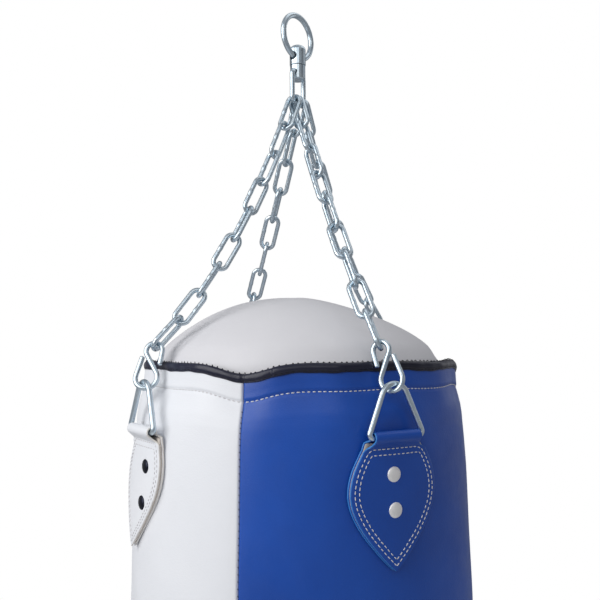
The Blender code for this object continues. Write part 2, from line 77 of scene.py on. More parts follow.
# ends of the wire in the hook's own plane, from its upper contact
HOOK_UPPER_END = (-0.0090, -0.0175)
HOOK_LOWER_END = (0.0096, -0.0135)
LINK_PLAY = 0.0007
D_WIRE_R = 0.00265
D_HALF_WIDTH = 0.0268
D_CROWN_R = 0.0140
D_FOOT_R = 0.0034
D_HEIGHT = 0.0427
D_RADIUS = 0.1820
D_BAR_Z = -0.4417
D_LEAN = math.radians(3.0)
D_PLAY = 0.0010
RIM_Z = -0.3790
STITCH_Z = -0.4030
BASE_Z = -1.5800

# ---------------------------------------------------------------- looks of the shell
PANEL_COLOUR = {"left": "white", "front": "blue", "back": "blue", "right": "white"}
LEATHER = 0.0022
SEAM_SAG = 0.0078
SEAM_SAG_WIDTH = math.radians(9.5)
SLUMP = 0.0062
SLUMP_MIDDLE = math.radians(346.0)
SLUMP_WIDTH = math.radians(20.0)
PINCH = 0.0070
PINCH_WIDTH = math.radians(14.0)
# depth and width of the hollows along a seam and along the collar's stitches
SEAM_VALLEY = (0.0004, 0.0070)
SEAM_GROOVE = (0.0018, 0.0010)
STITCH_GROOVE = (0.0009, 0.0016)
COLLAR_ROLL = 0.0005    # bulge of the leather just above the stitches
# heights of soft waves: in the collar's edge, and in the leather
EDGE_WAVE = 0.0006
EDGE_RIPPLE = 0.0004
LONG_WAVE = 0.0011
SHORT_WAVE = 0.0005
COLLAR_WAVE = 0.0007
# outer profile between the tabs: height, radius
SHELL_PROFILE = [
    (-0.3790, 0.1648), (-0.3950, 0.1652), (-0.4050, 0.1660), (-0.4130, 0.1680), (-0.4216, 0.1700),
    (-0.4321, 0.1714), (-0.4531, 0.1728), (-0.4848, 0.1742), (-0.5200, 0.1752), (-0.5700, 0.1769),
    (-0.6200, 0.1783), (-0.7500, 0.1790), (-1.5450, 0.1790), (-1.5600, 0.1785), (-1.5700, 0.1762),
    (-1.5770, 0.1715),
]


# ---------------------------------------------------------------- materials
# noise scales, in repeats per metre
PATCH_SCALE = 9.0
WEAR_SCALE = 45.0
CREASE_SCALE = 70.0
CELL_SCALE = 620.0
GRAIN_SCALE = 1500.0
BLOTCH_SCALE = 130.0
METAL_WEAR_SCALE = 420.0
FELT_SCALE = 900.0
THREAD_SCALE = 2500.0
STUFFING_SCALE = 200.0
LEATHER_BUMP = 0.22
FIBRE_BUMP = 0.6
BUMP_DISTANCE = 0.0006


def new_material(name):
    mat = bpy.data.materials.new(name)
    mat.use_nodes = True
    return mat, mat.node_tree, mat.node_tree.nodes["Principled BSDF"]


def add_node(tree, kind, **inputs):
    node = tree.nodes.new(kind)
    for key, value in inputs.items():
        node.inputs[key.replace("_", " ")].default_value = value
    return node


def noise(tree, coords, scale, detail=4.0, roughness=0.5):
    node = add_node(tree, "ShaderNodeTexNoise", Scale=scale, Detail=detail, Roughness=roughness)
    tree.links.new(coords, node.inputs["Vector"])
    return node.outputs["Fac"]


def remap(tree, value, low, high, to_low, to_high):
    node = add_node(tree, "ShaderNodeMapRange")
    for key, number in (("From Min", low), ("From Max", high), ("To Min", to_low), ("To Max", to_high)):
        node.inputs[key].default_value = number
    tree.links.new(value, node.inputs["Value"])
    return node.outputs["Result"]


def blend_colours(tree, share, first, second):
    node = tree.nodes.new("ShaderNodeMix")
    node.data_type = "RGBA"
    node.inputs["A"].default_value = (*first, 1.0)
    node.inputs["B"].default_value = (*second, 1.0)
    tree.links.new(share, node.inputs["Factor"])
    return node.outputs["Result"]


def add_bump(tree, shader, heights, strength, distance):
    """Chain of bumps, coarse first, into the shader's normal."""
    previous = None
    for height, share in heights:
        bump = add_node(tree, "ShaderNodeBump", Strength=strength * share, Distance=distance)
        tree.links.new(height, bump.inputs["Height"])
        if previous:
            tree.links.new(previous, bump.inputs["Normal"])
        previous = bump.outputs["Normal"]
    tree.links.new(previous, shader.inputs["Normal"])


def object_coords(tree):
    return tree.nodes.new("ShaderNodeTexCoord").outputs["Object"]


def leather_material(name, colour, second, roughness, coat=0.0, gloss=0.45):
    mat, tree, shader = new_material(name)
    coords = object_coords(tree)
    patches = remap(tree, noise(tree, coords, PATCH_SCALE, 5.0), 0.35, 0.65, 0.0, 1.0)
    tree.links.new(blend_colours(tree, patches, colour, second), shader.inputs["Base Color"])
    wear = noise(tree, coords, WEAR_SCALE, 6.0, 0.6)
    wear = remap(tree, wear, 0.3, 0.7, roughness - 0.06, roughness + 0.08)
    tree.links.new(wear, shader.inputs["Roughness"])
    cells = add_node(tree, "ShaderNodeTexVoronoi", Scale=CELL_SCALE)
    tree.links.new(coords, cells.inputs["Vector"])
    grain = noise(tree, coords, GRAIN_SCALE, 3.0)
    creases = noise(tree, coords, CREASE_SCALE, 6.0, 0.55)
    heights = ((creases, 1.0), (cells.outputs["Distance"], 0.55), (grain, 0.3))
    add_bump(tree, shader, heights, LEATHER_BUMP, BUMP_DISTANCE)
    shader.inputs["Specular IOR Level"].default_value = gloss
    shader.inputs["Coat Weight"].default_value = coat
    shader.inputs["Coat Roughness"].default_value = 0.35
    return mat


def metal_material(name, colour, second, roughness, metallic=1.0):
    mat, tree, shader = new_material(name)
    coords = object_coords(tree)
    blotches = remap(tree, noise(tree, coords, BLOTCH_SCALE, 4.0), 0.35, 0.65, 0.0, 1.0)
    tree.links.new(blend_colours(tree, blotches, colour, second), shader.inputs["Base Color"])
    wear = noise(tree, coords, METAL_WEAR_SCALE, 5.0, 0.6)
    wear = remap(tree, wear, 0.3, 0.7, roughness - 0.04, roughness + 0.06)
    tree.links.new(wear, shader.inputs["Roughness"])
    shader.inputs["Metallic"].default_value = metallic
    return mat


def fibre_material(name, colour, second, scale, roughness=0.9):
    mat, tree, shader = new_material(name)
    coords = object_coords(tree)
    flecks = noise(tree, coords, scale, 6.0, 0.7)
    share = remap(tree, flecks, 0.35, 0.65, 0.0, 1.0)
    tree.links.new(blend_colours(tree, share, colour, second), shader.inputs["Base Color"])
    add_bump(tree, shader, ((flecks, 1.0),), FIBRE_BUMP, BUMP_DISTANCE)
    shader.inputs["Roughness"].default_value = roughness
    return mat


def make_leathers():
    return {
        "white": leather_material("white_leather", (0.80, 0.81, 0.84), (0.77, 0.785, 0.82), 0.50),
        # the top's leather is a darker copy of the white leather: painted shade for the dome, which faces up
        # and gets less light
        "top_white_painted_shade": leather_material("top_leather_painted_shade", (0.71, 0.705, 0.73), (0.67, 0.665, 0.69), 0.55),
        "blue": leather_material("blue_leather", (0.003, 0.072, 0.420), (0.002, 0.054, 0.330), 0.42,
                                 coat=0.1),
        "binding": leather_material("binding_vinyl", (0.005, 0.005, 0.015), (0.010, 0.011, 0.030), 0.33,
                                    gloss=0.40),
        "blue_edge": leather_material("blue_edge_paint", (0.03, 0.20, 0.55), (0.02, 0.16, 0.48), 0.5),
        "white_edge": leather_material("white_edge", (0.80, 0.78, 0.76), (0.74, 0.71, 0.67), 0.6),
    }


def make_metals():
    return {
        "zinc": metal_material("zinc_plate", (0.52, 0.62, 0.70), (0.60, 0.68, 0.73), 0.30),
        "rivet": metal_material("nickel_rivet", (0.96, 0.94, 0.93), (0.90, 0.89, 0.88), 0.46, metallic=0.55),
        "dark_rivet": metal_material("dark_rivet", (0.020, 0.022, 0.035), (0.03, 0.032, 0.045), 0.35),
    }


def make_fibres():
    return {
        "felt": fibre_material("grey_felt", (0.50, 0.46, 0.41), (0.34, 0.31, 0.28), FELT_SCALE),
        # the white tabs' felt is a lighter, beige copy of the grey felt: painted light that offsets the
        # shade on their edges
        "felt_painted_light": fibre_material("felt_painted_light", (0.72, 0.66, 0.60), (0.56, 0.49, 0.42), FELT_SCALE),
        "thread": fibre_material("white_thread", (0.82, 0.80, 0.78), (0.66, 0.65, 0.66), THREAD_SCALE, 0.7),
        # the grey thread is a darker copy of the white thread: painted shade of the stitches on the white
        # leather
        "grey_thread_painted_shade": fibre_material("grey_thread_painted_shade", (0.64, 0.63, 0.64), (0.55, 0.54, 0.55),
                                      THREAD_SCALE, 0.7),
        "black_thread": fibre_material("black_thread", (0.004, 0.004, 0.008), (0.010, 0.010, 0.016),
                                       THREAD_SCALE),
        "stuffing": fibre_material("textile_stuffing", (0.45, 0.44, 0.42), (0.30, 0.30, 0.32),
                                   STUFFING_SCALE),
    }


# ---------------------------------------------------------------- mesh helpers
SAME_POINT = 1e-6
# chamfer at a cut wire end: its length and the width left, as shares of the wire
END_CHAMFER = 0.18
END_WIDTH = 0.82


def add_piece(name, bm_or_mesh, materials, body, matrix=Matrix.Identity(4), smooth=True):
    mesh = bm_or_mesh
    if isinstance(mesh, bmesh.types.BMesh):
        bmesh.ops.recalc_face_normals(mesh, faces=mesh.faces)
        data = bpy.data.meshes.new(name)
        mesh.to_mesh(data)
        mesh.free()
        mesh = data
        if smooth:
            mesh.shade_smooth()
    if not mesh.materials:
        for mat in materials:
            mesh.materials.append(mat)
    obj = bpy.data.objects.new(name, mesh)
    bpy.context.scene.collection.objects.link(obj)
    obj.matrix_world = matrix
    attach(obj, body)
    return obj


def bell(distance, width):
    """1 in the middle, falling to about a third at the width."""
    return math.exp(-((distance / width) ** 2))


def arc(centre_x, centre_z, radius, start, end, steps):
    """Points of an arc, with its ends in degrees."""
    angles = np.radians(np.linspace(start, end, steps + 1))
    return [(centre_x + radius * math.cos(a), centre_z + radius * math.sin(a)) for a in angles]


def drop_repeats(points):
    kept = [points[0]]
    for point in points[1:]:
        if math.dist(point, kept[-1]) > SAME_POINT:
            kept.append(point)
    if math.dist(kept[0], kept[-1]) < SAME_POINT:
        kept.pop()
    return kept


def even_spacing(points, step, closed):
    """The same path with a point about every step."""
    loop = points + [points[0]] if closed else points
    fine = []
    for a, b in zip(loop, loop[1:]):
        count = max(1, round(math.dist(a, b) / step))
        fine += [tuple(np.array(a) + (np.array(b) - np.array(a)) * k / count) for k in range(count)]
    if not closed:
        fine.append(points[-1])
    return fine


def loft(bm, loops, closed_along=False, caps=True, mat_of=None):
    """Joins loops of points, each with the same count, into one skin. mat_of(k) gives a strip's material."""
    rings = [[bm.verts.new(point) for point in loop] for loop in loops]
    count = len(rings[0])
    for i in range(len(rings) if closed_along else len(rings) - 1):
        near, far = rings[i], rings[(i + 1) % len(rings)]
        for k in range(count):
            face = bm.faces.new((near[k], near[(k + 1) % count], far[(k + 1) % count], far[k]))
            if mat_of:
                face.material_index = mat_of(k)
    if caps and not closed_along:
        bm.faces.new(rings[0])
        bm.faces.new(rings[-1])


def wire_mesh(path, radius, closed, sides=16, swell=None):
    """Round wire along a flat path in the local XZ plane. swell(x, z) scales the radius at a point."""
    bm = bmesh.new()
    count = len(path)
    loops = []
    for i, (x, z) in enumerate(path):
        before = path[i - 1] if closed or i > 0 else path[i]
        after = path[(i + 1) % count] if closed or i < count - 1 else path[i]
        tangent = Vector((after[0] - before[0], 0.0, after[1] - before[1])).normalized()
        across = tangent.cross(Vector((0.0, 1.0, 0.0)))
        r = radius * (swell(x, z) if swell else 1.0)
        turns = [2 * math.pi * k / sides for k in range(sides)]
        loops.append([Vector((x, 0.0, z)) + across * math.cos(a) * r + Vector((0.0, math.sin(a) * r, 0.0))
                      for a in turns])
    if not closed:
        # a cut end with a small chamfer
        for end, inner in ((0, 1), (-1, -2)):
            centre = sum(loops[end], Vector()) / sides
            away = (centre - sum(loops[inner], Vector()) / sides).normalized() * radius * END_CHAMFER
            tip = [centre + (p - centre) * END_WIDTH + away for p in loops[end]]
            loops = [tip] + loops if end == 0 else loops + [tip]
    loft(bm, loops, closed_along=closed)
    return bm


def frame_matrix(origin, width, down):
    """Places a flat wire piece: its local -Z along down and its local X as near to width as that allows."""
    axis_z = -down.normalized()
    axis_x = (width - axis_z * width.dot(axis_z)).normalized()
    axis_y = axis_z.cross(axis_x)
    rotation = Matrix((axis_x, axis_y, axis_z)).transposed().to_4x4()
    return Matrix.Translation(origin) @ rotation


def yaw_at(height, degrees):
    return Matrix.Translation((0.0, 0.0, height)) @ Matrix.Rotation(math.radians(degrees), 4, "Z")


# ---------------------------------------------------------------- ring, swivel, chain, hooks, D-rings
def rounded_box(half_width, bottom, top, corner, steps):
    x = half_width - corner
    points = []
    for sign_x, z, start in ((1, bottom + corner, -90), (1, top - corner, 0),
                             (-1, top - corner, 90), (-1, bottom + corner, 180)):
        points += arc(sign_x * x, z, corner, start, start + 90, steps)
    return drop_repeats(points)


def ring_weld(x, z):
    """Slight swelling where the ring's ends are welded."""
    return 1.0 + 0.06 * bell(math.hypot(x - RING_R, z), 0.0022)


def ring_piece(mats):
    path = arc(0.0, 0.0, RING_R, 0.0, 356.25, 95)
    mesh = wire_mesh(path, RING_WIRE_R, True, 20, ring_weld)
    ring = add_piece("hanging_ring", mesh, [mats["zinc"]], "ring",
                     yaw_at(RING_WIRE_R - RING_R, RING_YAW))
    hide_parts("top_ring")


def master_piece(mats):
    outline = rounded_box(MASTER_HALF_WIDTH, MASTER_BOTTOM_Z - MASTER_TOP_Z, 0.0, MASTER_CORNER_R, 8)
    path = even_spacing(outline, 0.0015, True)
    master = add_piece("gathering_link", wire_mesh(path, MASTER_WIRE_R, True), [mats["zinc"]], "master",
                       yaw_at(MASTER_TOP_Z, MASTER_YAW))
    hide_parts("master_link")


def link_placement(node):
    """Matrix of a chain link, from the spread of its CAD vertices: longest, then widest direction."""
    points = np.array([v.co for v in frame["nodes"][node].data.vertices], float)
    unique = np.unique(points.round(7), axis=0)
    centre = unique.mean(0)
    axes = np.linalg.svd(unique - centre, full_matrices=False)[2]
    down, width = Vector(axes[0]), Vector(axes[1])
    if down.z > 0:
        down = -down
    return frame_matrix(Vector(centre), width, down)


def link_weld(x, z):
    """Bead in the middle of a link's one side, with a slight neck above and below it."""
    if x < 0:
        return 1.0
    return 1.0 + 0.09 * bell(z, 0.0016) - 0.04 * bell(abs(z) - 0.0042, 0.0012)


def link_mesh(mats):
    outline = rounded_box(LINK_HALF_WIDTH, -LINK_HALF_LENGTH, LINK_HALF_LENGTH, LINK_HALF_WIDTH, 10)
    bm = wire_mesh(even_spacing(outline, 0.0011, True), LINK_WIRE_R, True, 16, link_weld)
    bmesh.ops.recalc_face_normals(bm, faces=bm.faces)
    mesh = bpy.data.meshes.new("chain_link")
    bm.to_mesh(mesh)
    bm.free()
    mesh.shade_smooth()
    mesh.materials.append(mats["zinc"])
    return mesh


def chain_pieces(mats):
    mesh = link_mesh(mats)
    for leg in LEG_AZIMUTH:
        for i in range(1, LINKS_PER_LEG + 1):
            node = f"chain_{leg}_link_{i}"
            body = "bag" if i == 1 else f"link_{leg}_{i}"
            link = add_piece(f"{leg}_link_{i}", mesh, [], body, link_placement(node))
            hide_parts(node)


def tangent_angle(centre, radius, point, side):
    """Direction in degrees, seen from an arc's centre, where a line from the point touches the arc."""
    dx, dz = point[0] - centre[0], point[1] - centre[1]
    opening = math.acos(radius / math.hypot(dx, dz))
    return math.degrees(math.atan2(dz, dx) + side * opening)


def hook_path():
    """Centre line of an S-hook: two arcs joined by a straight, with a straight end on each."""
    upper = (0.0, HOOK_WIRE_R + LINK_PLAY / 2 - HOOK_UPPER_R)
    lower = (0.0, -HOOK_LENGTH - HOOK_WIRE_R - D_PLAY / 2 + HOOK_LOWER_R)
    crossing = math.degrees(math.asin((HOOK_UPPER_R + HOOK_LOWER_R) / (upper[1] - lower[1])))
    upper_touch = tangent_angle(upper, HOOK_UPPER_R, HOOK_UPPER_END, -1) + 360.0
    lower_touch = tangent_angle(lower, HOOK_LOWER_R, HOOK_LOWER_END, -1)
    path = [HOOK_UPPER_END] + arc(*upper, HOOK_UPPER_R, upper_touch, -crossing, 30)
    path += arc(*lower, HOOK_LOWER_R, 180.0 - crossing, 360.0 + lower_touch, 30) + [HOOK_LOWER_END]
    return even_spacing(drop_repeats(path), 0.0010, False)


def d_ring_path():
    """Centre line of a D-ring: round crown, two slanted sides, tight feet and a straight bar at height 0."""
    crown_z = D_HEIGHT + D_WIRE_R - D_CROWN_R
    foot_x = D_HALF_WIDTH - D_FOOT_R
    reach = math.hypot(foot_x, crown_z - D_FOOT_R)
    heading = math.degrees(math.atan2(D_FOOT_R - crown_z, foot_x))
    touch = heading + math.degrees(math.acos((D_CROWN_R - D_FOOT_R) / reach))
    path = arc(foot_x, D_FOOT_R, D_FOOT_R, -90.0, touch, 8)
    path += arc(0.0, crown_z, D_CROWN_R, touch, 180.0 - touch, 24)
    path += arc(-foot_x, D_FOOT_R, D_FOOT_R, 180.0 - touch, 270.0, 8)
    return even_spacing(drop_repeats(path), 0.0014, True)


def hook_direction(top, ring_up, crown):
    """Direction of a taut hook from its upper contact down to the D-ring's crown."""
    down = -UP
    for _ in range(8):
        between = (ring_up - down).normalized()
        bottom = crown - between * (HOOK_WIRE_R + D_WIRE_R + D_PLAY) - down * (HOOK_WIRE_R + D_PLAY / 2)
        down = (bottom - top).normalized()
    return down


def hook_and_ring_pieces(mats):
    for leg in LEG_AZIMUTH:
        across = Vector(JOINTS[f"d_ring_rock_{leg}"]["axis"])
        outward = across.cross(UP)
        bar = Vector(JOINTS[f"d_ring_rock_{leg}"]["pos_m"])
        top = Vector(JOINTS[f"hook_rock_{leg}"]["pos_m"])
        ring_up = UP * math.cos(D_LEAN) - outward * math.sin(D_LEAN)
        crown = bar + ring_up * (D_HEIGHT + D_WIRE_R)
        down = hook_direction(top, ring_up, crown)
        roll = math.radians(HOOK_ROLL[leg])
        width = across * math.cos(roll) + down.cross(across) * math.sin(roll)
        hook = add_piece(f"{leg}_hook", wire_mesh(hook_path(), HOOK_WIRE_R, False), [mats["zinc"]],
                         f"hook_{leg}", frame_matrix(top, width, down))
        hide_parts(f"s_hook_{leg}")
        d_ring = add_piece(f"{leg}_strap_ring", wire_mesh(d_ring_path(), D_WIRE_R, True), [mats["zinc"]],
                           f"dring_{leg}", frame_matrix(bar, across, -ring_up))
        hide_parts(f"d_ring_{leg}")


def finish_swivel(mats):
    """The two barrels keep their CAD shape."""
    for node in ("swivel_head", "swivel_body"):
        data = frame["nodes"][node]
        for slot in data.material_slots:
            slot.material = mats["zinc"]


# ---------------------------------------------------------------- shell
def smooth_step(value, low, high):
    share = min(max((value - low) / (high - low), 0.0), 1.0)
    return share * share * (3.0 - 2.0 * share)


PROFILE_Z = np.array([-z for z, _ in SHELL_PROFILE])
PROFILE_R = np.array([r for _, r in SHELL_PROFILE])


def angle_gap(angle, centre):
    """Signed difference of two angles, within half a turn."""
    return (angle - centre + math.pi) % (2 * math.pi) - math.pi


def seam_gap(angle):
    """Distance in radians to the nearest seam."""
    return min(abs(angle_gap(angle, math.radians(end))) for _, end in PANEL_SEAMS.values())


def tab_gap(angle):
    """Distance in radians to the nearest tab's middle."""
    return min(abs(angle_gap(angle, math.radians(tab))) for tab in LEG_AZIMUTH.values())


def rim_share(zeta):
    """0 on the bag's side, 1 on the collar."""
    return smooth_step(zeta, -0.450, -0.404)


def sag(zeta, angle):
    """The shell's height at a point, where the collar dips at the seams."""
    dip = SEAM_SAG * bell(seam_gap(angle), SEAM_SAG_WIDTH)
    wave = EDGE_WAVE * math.sin(5 * angle + 0.7) + EDGE_RIPPLE * math.sin(11 * angle + 2.0)
    slump = SLUMP * bell(angle_gap(angle, SLUMP_MIDDLE), SLUMP_WIDTH)
    return zeta - (max(dip, slump) + wave) * rim_share(zeta)


def waves(zeta, angle):
    """Soft unevenness of the stuffed leather."""
    long = LONG_WAVE * math.sin(3 * angle + 9 * zeta) * math.sin(7 * zeta + 1.3)
    short = SHORT_WAVE * math.sin(13 * angle + 21 * zeta + 0.4) * math.sin(31 * zeta)
    collar = COLLAR_WAVE * math.sin(17 * angle + 1.1) * rim_share(zeta)
    return long + short + collar


def shell_radius(zeta, angle):
    """Outer radius of the leather at an undipped height and an angle."""
    radius = float(np.interp(-zeta, PROFILE_Z, PROFILE_R)) + waves(zeta, angle)
    radius -= PINCH * smooth_step(zeta, -0.430, -0.385) * bell(tab_gap(angle), PINCH_WIDTH)
    across = seam_gap(angle) * radius
    for depth, width in (SEAM_VALLEY, SEAM_GROOVE):
        radius -= depth * bell(across, width)
    above = zeta - STITCH_Z
    radius -= STITCH_GROOVE[0] * bell(above, STITCH_GROOVE[1])
    radius += COLLAR_ROLL * smooth_step(above, 0.0, 0.004) * (1 - smooth_step(above, 0.010, 0.022))
    return radius


def shell_point(zeta, angle, lift=0.0):
    radius = shell_radius(zeta, angle) + lift
    return Vector((radius * math.cos(angle), radius * math.sin(angle), sag(zeta, angle)))


def spaced(start, stops):
    """Heights from start down through (stop, step) pairs."""
    values = [start]
    for stop, step in stops:
        count = max(1, round((values[-1] - stop) / step))
        values += [values[-1] + (stop - values[-1]) * (k + 1) / count for k in range(count)]
    return values


# rows of a panel, closest together at the stitch line and at the ends
PANEL_ROWS = spaced(RIM_Z - 0.0006, ((-0.398, 0.0019), (-0.408, 0.0007), (-0.450, 0.0023), (-0.640, 0.0060),
                                     (-1.545, 0.028), (-1.5770, 0.0035)))


# distances from a seam, on a radius, of the panel's first columns
SEAM_STEPS = (0.0002, 0.0006, 0.0011, 0.0018, 0.0028, 0.0042, 0.0065, 0.0095, 0.0135, 0.0185)
SEAM_STEPS_R = 0.175


def panel_angles(seams):
    """Angles across a panel, closer together along both seams."""
    start, end = (math.radians(seam) for seam in seams)
    near = [step / SEAM_STEPS_R for step in SEAM_STEPS]
    between = np.linspace(start + near[-1], end - near[-1], 61)[1:-1]
    return [start + a for a in near] + list(between) + [end - a for a in reversed(near)]


def grid_solid(points_of_lift, lifts):
    """Closed plate from two grids of points; points_of_lift(lift) gives rows of points."""
    bm = bmesh.new()
    grids = [[[bm.verts.new(p) for p in row] for row in points_of_lift(lift)] for lift in lifts]
    rows, columns = len(grids[0]), len(grids[0][0])
    for grid in grids:
        for j in range(rows - 1):
            for k in range(columns - 1):
                bm.faces.new((grid[j][k], grid[j][k + 1], grid[j + 1][k + 1], grid[j + 1][k]))
    a, b = grids
    for j in range(rows - 1):
        for k in (0, columns - 1):
            bm.faces.new((a[j][k], a[j + 1][k], b[j + 1][k], b[j][k]))
    for k in range(columns - 1):
        for j in (0, rows - 1):
            bm.faces.new((a[j][k], a[j][k + 1], b[j][k + 1], b[j][k]))
    return bm


def panel_pieces(mats):
    for leg, seams in PANEL_SEAMS.items():
        angles = panel_angles(seams)
        bm = grid_solid(lambda lift: [[shell_point(z, a, lift) for a in angles] for z in PANEL_ROWS],
                        (0.0, -LEATHER))
        colour = PANEL_COLOUR[leg]
        panel = add_piece(f"{leg}_side", bm, [mats[colour]], "bag")
        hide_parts(f"panel_{leg}")


THREAD_STEPS = 6
THREAD_SIDES = 8
THREAD_SINK = 0.35    # how deep an end goes in, as a share of its radius
STITCH_BULGE = 0.0003


def thread(bm, start, end, outward, radius, bulge):
    """One stitch: a short round thread that rises from the leather and goes back in."""
    along = (end - start).normalized()
    sideways = along.cross(outward).normalized()
    loops = []
    for i in range(THREAD_STEPS + 1):
        t = i / THREAD_STEPS
        rise = bulge * math.sin(math.pi * t) - THREAD_SINK * radius
        centre = start.lerp(end, t) + outward * rise
        r = radius * 0.45
        if 0 < i < THREAD_STEPS:
            r = radius * (0.55 + 0.45 * math.sin(math.pi * t) ** 0.5)
        loops.append([centre + (outward * math.sin(a) + sideways * math.cos(a)) * r
                      for a in (2 * math.pi * k / THREAD_SIDES for k in range(THREAD_SIDES))])
    loft(bm, loops)


def stitch_row(bm, points, normals, pitch, share, radius, jitter=None):
    """Stitches along a line of points, one every pitch, each covering that share of it."""
    lengths = np.cumsum([0.0] + [(b - a).length for a, b in zip(points, points[1:])])
    xyz = np.array([list(p) for p in points])
    nrm = np.array([list(n) for n in normals])

    def at(distance, table):
        return Vector([float(np.interp(distance, lengths, table[:, i])) for i in range(3)])

    count = max(1, int(lengths[-1] / pitch))
    for i in range(count):
        start = lengths[-1] * (i + (1 - share) / 2) / count
        end = start + lengths[-1] / count * share
        if jitter:
            end += jitter.uniform(-0.08, 0.08) * pitch
        middle = (start + end) / 2
        thread(bm, at(start, xyz), at(end, xyz), at(middle, nrm).normalized(), radius, STITCH_BULGE)


def radial(angle):
    return Vector((math.cos(angle), math.sin(angle), 0.0))


def thread_name(leg):
    # on white leather the stitches take the greyer copy of the thread: painted shade
    return "grey_thread_painted_shade" if PANEL_COLOUR[leg] == "white" else "thread"


COLLAR_STITCH_PITCH = 0.0046
COLLAR_STITCH_R = 0.00050
SEAM_MARGIN = 0.012     # radians left free of stitches beside a seam


def collar_stitches(mats):
    jitter = random.Random(5)
    for leg, seams in PANEL_SEAMS.items():
        start, end = (math.radians(seam) for seam in seams)
        angles = np.linspace(start + SEAM_MARGIN, end - SEAM_MARGIN, 200)
        line = [shell_point(STITCH_Z, a, 0.0001) for a in angles]
        bm = bmesh.new()
        stitch_row(bm, line, [radial(a) for a in angles], COLLAR_STITCH_PITCH, 0.66, COLLAR_STITCH_R, jitter)
        add_piece(f"{leg}_collar_stitches", bm, [mats[thread_name(leg)]], "bag")


SEAM_STITCH_PITCH = 0.0060
SEAM_STITCH_REACH = 0.0008
SEAM_STITCH_SLANT = 0.0006
SEAM_STITCH_R = 0.00024


def seam_hole_shade_ticks(mats):
    """Dark ticks across every seam, made as black thread: painted shade of the seam's stitch holes."""
    bm = bmesh.new()
    for _, end in PANEL_SEAMS.values():
        seam = math.radians(end)
        for zeta in spaced(-0.4120, ((-1.560, SEAM_STITCH_PITCH),)):
            reach = SEAM_STITCH_REACH / shell_radius(zeta, seam)
            thread(bm, shell_point(zeta, seam - reach), shell_point(zeta - SEAM_STITCH_SLANT, seam + reach),
                   radial(seam), SEAM_STITCH_R, 0.0002)
    add_piece("seam_hole_shade_ticks", bm, [mats["black_thread"]], "bag")


def rim_frame(angle):
    """Centre of the collar's top edge in plan: radius and height."""
    return shell_radius(RIM_Z, angle) - LEATHER / 2, sag(RIM_Z, angle)


# section of the tape, folded over the edge: outwards and up from the middle of the leather's edge
BINDING_SECTION = [
    (-0.0014, -0.0076), (-0.0022, -0.0072), (-0.0028, -0.0054), (-0.0027, -0.0028), (-0.0023, -0.0008),
    (-0.0014, 0.0003), (0.0, 0.0007), (0.0013, 0.0004), (0.0021, -0.0004), (0.0027, -0.0016),
    (0.0030, -0.0030), (0.0030, -0.0042), (0.0027, -0.0053), (0.0022, -0.0059), (0.0024, -0.0066),
    (0.0022, -0.0074), (0.0015, -0.0077), (0.00125, -0.0073), (0.00125, -0.0014), (-0.00125, -0.0014),
]
BINDING_SLOT_HALF = 0.0013
TAPE_STITCH_AT = (0.0022, -0.0059)
TAPE_STITCH_PITCH = 0.0052
TAPE_STITCH_R = 0.00035
TAPE_END = math.radians(234.6)
TAPE_OVERLAP = math.radians(85.0)
TAPE_SWELL = 0.20       # extra thickness at the overlap, as a share
TAPE_RISE = 0.00035     # extra height there
TAPE_SEGMENTS = 640
TUFTS = 190             # loose threads along the top of the tape
TUFT_R = 0.00045


def tape_rise(angle):
    """1 where the tape's end lies over its start, fading to 0."""
    along = (angle - TAPE_END) % (2 * math.pi)
    return 1.0 - smooth_step(along, TAPE_OVERLAP * 0.8, TAPE_OVERLAP) if along < TAPE_OVERLAP else 0.0


def binding_point(angle, x, y):
    radius, height = rim_frame(angle)
    in_slot = abs(x) < BINDING_SLOT_HALF and y < -0.0010
    if not in_slot:
        bunches = 0.07 * math.sin(23 * angle + 0.5) + 0.05 * math.sin(61 * angle)
        x *= 1.0 + TAPE_SWELL * tape_rise(angle) + bunches
    lift = TAPE_RISE * tape_rise(angle) if y > 0 else 0.0
    y = y * (1.0 + 0.05 * math.sin(19 * angle) + 0.03 * math.sin(47 * angle + 1.0)) + lift
    return radial(angle) * (radius + x) + UP * (height + y)


def binding_piece(mats):
    step = 2 * math.pi / TAPE_SEGMENTS
    angles = [TAPE_END + k * step for k in range(TAPE_SEGMENTS)]
    angles.append(TAPE_END + 2 * math.pi - 1e-4)
    bm = bmesh.new()
    loft(bm, [[binding_point(a, x, y) for x, y in BINDING_SECTION] for a in angles], closed_along=True)
    binding = add_piece("edge_tape", bm, [mats["binding"]], "bag")
    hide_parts("collar_binding")


def tuft(bm, angle, size):
    start = binding_point(angle - 0.006, -0.0006, 0.0004)
    end = binding_point(angle + 0.006, 0.0009, 0.0004)
    thread(bm, start, end, UP, TUFT_R, 0.0004 + 0.0011 * size)


def binding_stitches(mats):
    draw = random.Random(11)
    bm = bmesh.new()
    line = np.linspace(0, 2 * math.pi, 900)
    stitch_row(bm, [binding_point(a, *TAPE_STITCH_AT) for a in line], [radial(a) for a in line],
               TAPE_STITCH_PITCH, 0.6, TAPE_STITCH_R)
    for k in range(TUFTS):
        angle = 2 * math.pi * k / TUFTS + draw.uniform(-0.004, 0.004)
        tuft(bm, angle, draw.uniform(0.3, 1.0))
    add_piece("edge_tape_stitches", bm, [mats["black_thread"]], "bag")


# ---------------------------------------------------------------- stuffed top and base
DOME_TOP_Z = -0.3120
DOME_EDGE_R = 0.1515
DOME_EDGE_SHIFT = Vector((-0.0034, 0.0018, 0.0))
DOME_SHIFT = Vector((-0.0092, 0.0050, 0.0))
DOME_ROWS = 44
DOME_SEGMENTS = 160
DOME_SKIN = 0.0028
DOME_FALL = 2.42            # fall per square metre of reach from the apex
DOME_SHOULDER = 26000.0     # fall by the eighth power of the reach, which rounds the shoulder
DOME_TUCK = 0.0060          # how far the edge dips behind the collar
SKIRT_FALL = 0.12
FILLING_R = 0.1670
FILLING_TOP = [
    (0.0, -0.335), (0.05, -0.338), (0.09, -0.350), (0.12, -0.370), (0.140, -0.410), (0.155, -0.440),
]
